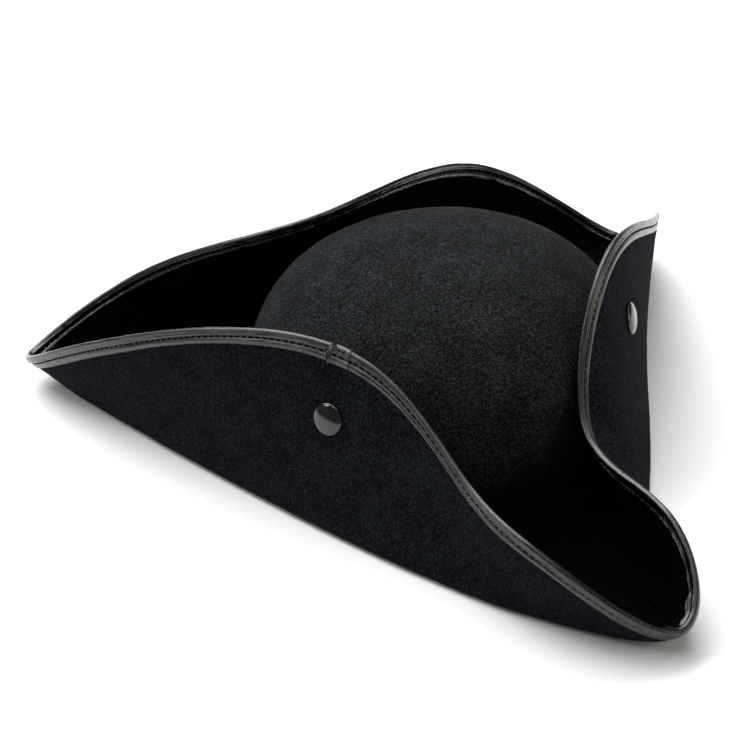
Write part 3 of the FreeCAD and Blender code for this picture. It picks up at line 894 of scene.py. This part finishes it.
def make_band():
    count, ribs = 2000, 500
    angle = np.linspace(0, 2 * math.pi, count, endpoint=False)
    rib = 0.10 * np.cos(angle * ribs)
    rows = []
    heights = np.linspace(BAND_LOW, BAND_HIGH, 26)
    for z in heights:
        edge = (0.30 * math.exp(-(((z - BAND_LOW - 1.0) / 0.9) ** 2))
                + 0.30 * math.exp(-(((z - BAND_HIGH + 1.0) / 0.9) ** 2)))
        rows.append(band_point(angle, np.full(count, z), BAND_THICK - 0.35 + rib + edge))
    rows.append(band_point(angle, np.full(count, BAND_HIGH), np.full(count, 0.1)))
    for z in heights[::-5]:
        rows.append(band_point(angle, np.full(count, z), np.zeros(count)))
    grid = np.stack(rows, 1)
    faces = [list(f) for f in grid_faces(count, grid.shape[1], True, True)]
    obj = mesh_object("sweatband_ribbon", grid.reshape(-1, 3), faces)
    return dress(obj, BAND)


def make_band_stitches():
    stitch = capsule(BAND_STITCH_LENGTH, BAND_STITCH_RADIUS)
    points, faces = [], []
    for i in range(BAND_STITCHES):
        a = 2 * math.pi * (i + 0.5) / BAND_STITCHES
        p, ahead = band_point(np.array([a, a + 0.01]), np.full(2, BAND_STITCH_HEIGHT),
                              np.full(2, BAND_STITCH_DEPTH))
        x = unit(ahead - p)
        z = unit(-p * [1, 1, 0])
        add_stitch(points, faces, stitch, p, x, np.cross(z, x), z)
    obj = mesh_object("sweatband_thread", np.concatenate(points), faces)
    return dress(obj, THREAD)


# ---- the hat ----
brims, tapes, stitches = make_brim(), make_tape(), make_stitches()
crown, join = make_crown(), make_join()
snaps = make_snaps()
band, band_thread = make_band(), make_band_stitches()

NEIGHBOURS = {"left": ("front", "left"), "back": ("left", "right"), "right": ("right", "front")}
for name in SECTORS:
    ends = NEIGHBOURS[name]
    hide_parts("flap_" + name, "brim", *["corner_" + c for c in ends])
    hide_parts("flap_binding_" + name, *["corner_binding_" + c for c in ends])
    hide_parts("flap_stitching_" + name, "corner_stitching")
    for obj in (brims[name], tapes[name], stitches[name]):
        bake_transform(obj)
    cap, socket, stud, post = snaps[name]
    for obj, node, body in (
        (cap, "snap_cap_", "flap_" + name), (socket, "snap_socket_", "flap_" + name),
        (stud, "snap_stud_", "hat"), (post, "snap_post_", "hat"),
    ):
        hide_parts(node + name)
        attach(obj, body)

# ---- the brim's middle layer, then the remaining pieces put in place ----
middle, _ = brim_grid(FELT_S)
half_rows = FLAT_ROWS + FOLD_ROWS + FLAP_ROWS
middle = (middle[:, :half_rows] + middle[:, ::-1][:, :half_rows]) / 2

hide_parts("binding_join")
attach(join, "flap_right")
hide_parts("crown")
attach(crown, "hat")
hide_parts("sweatband")
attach(band, "hat")
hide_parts("sweatband_stitching")
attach(band_thread, "hat")

# ---- stage ----
FLOOR_SIZE, FLOOR_DROP = 8, 0.0004
bpy.ops.mesh.primitive_plane_add(size=FLOOR_SIZE, location=(0, 0, -FLOOR_DROP))
floor = bpy.context.object
floor.name = "floor"
paper = bpy.data.materials.new("paper")
paper.use_nodes = True
paper_shader = paper.node_tree.nodes["Principled BSDF"]
paper_shader.inputs["Base Color"].default_value = (0.92, 0.92, 0.92, 1)
paper_shader.inputs["Roughness"].default_value = 0.9
floor.data.materials.append(paper)

world = bpy.data.worlds.new("studio")
bpy.context.scene.world = world
world.use_nodes = True
backdrop = world.node_tree.nodes["Background"]
backdrop.inputs["Color"].default_value = (1, 1, 1, 1)
backdrop.inputs["Strength"].default_value = 0.2


def area_light(name, place, aim, size, power, colour=(1, 1, 1)):
    data = bpy.data.lights.new(name, "AREA")
    data.shape = "RECTANGLE"
    data.size, data.size_y = size
    data.energy = power
    data.color = colour
    obj = bpy.data.objects.new(name, data)
    bpy.context.scene.collection.objects.link(obj)
    obj.location = place
    obj.rotation_mode = "QUATERNION"
    obj.rotation_quaternion = (Vector(place) - Vector(aim)).to_track_quat("Z", "Y")


area_light("key", (-0.1, 0.95, 1.35), (0, -0.05, 0.0), (2.0, 1.3), 50)
area_light("overhead", (-0.2, -0.2, 1.9), (0, 0, 0.0), (1.4, 1.4), 12)
area_light("left strip", (-1.0, 0.30, 0.85), (0, -0.05, 0.03), (0.35, 0.35), 2.4)
area_light("right side", (1.05, -0.95, 0.55), (0.05, -0.05, 0.05), (0.8, 0.8), 6.0,
           (1.0, 0.94, 0.84))
bpy.context.scene.view_settings.view_transform = "Standard"

# ---- camera, at the photograph's own view ----
AZIMUTH, ELEVATION, ROLL = math.radians(-22.85), math.radians(32.54), math.radians(-3.0)
TARGET, DISTANCE, LENS = Vector((-0.0448, -0.02435, 0.05)), 0.86438, 90.78
SENSOR = 36
back = Vector((math.sin(AZIMUTH) * math.cos(ELEVATION), -math.cos(AZIMUTH) * math.cos(ELEVATION),
               math.sin(ELEVATION)))
level = Vector((math.cos(AZIMUTH), math.sin(AZIMUTH), 0))
upright = back.cross(level)
right = level * math.cos(ROLL) + upright * math.sin(ROLL)
up = upright * math.cos(ROLL) - level * math.sin(ROLL)
camera = bpy.data.objects.new("camera", bpy.data.cameras.new("camera"))
bpy.context.scene.collection.objects.link(camera)
camera.data.sensor_width = SENSOR
camera.data.lens = LENS
turn = Matrix((right, up, back)).transposed()
camera.matrix_world = Matrix.Translation(TARGET + back * DISTANCE) @ turn.to_4x4()
bpy.context.scene.camera = camera
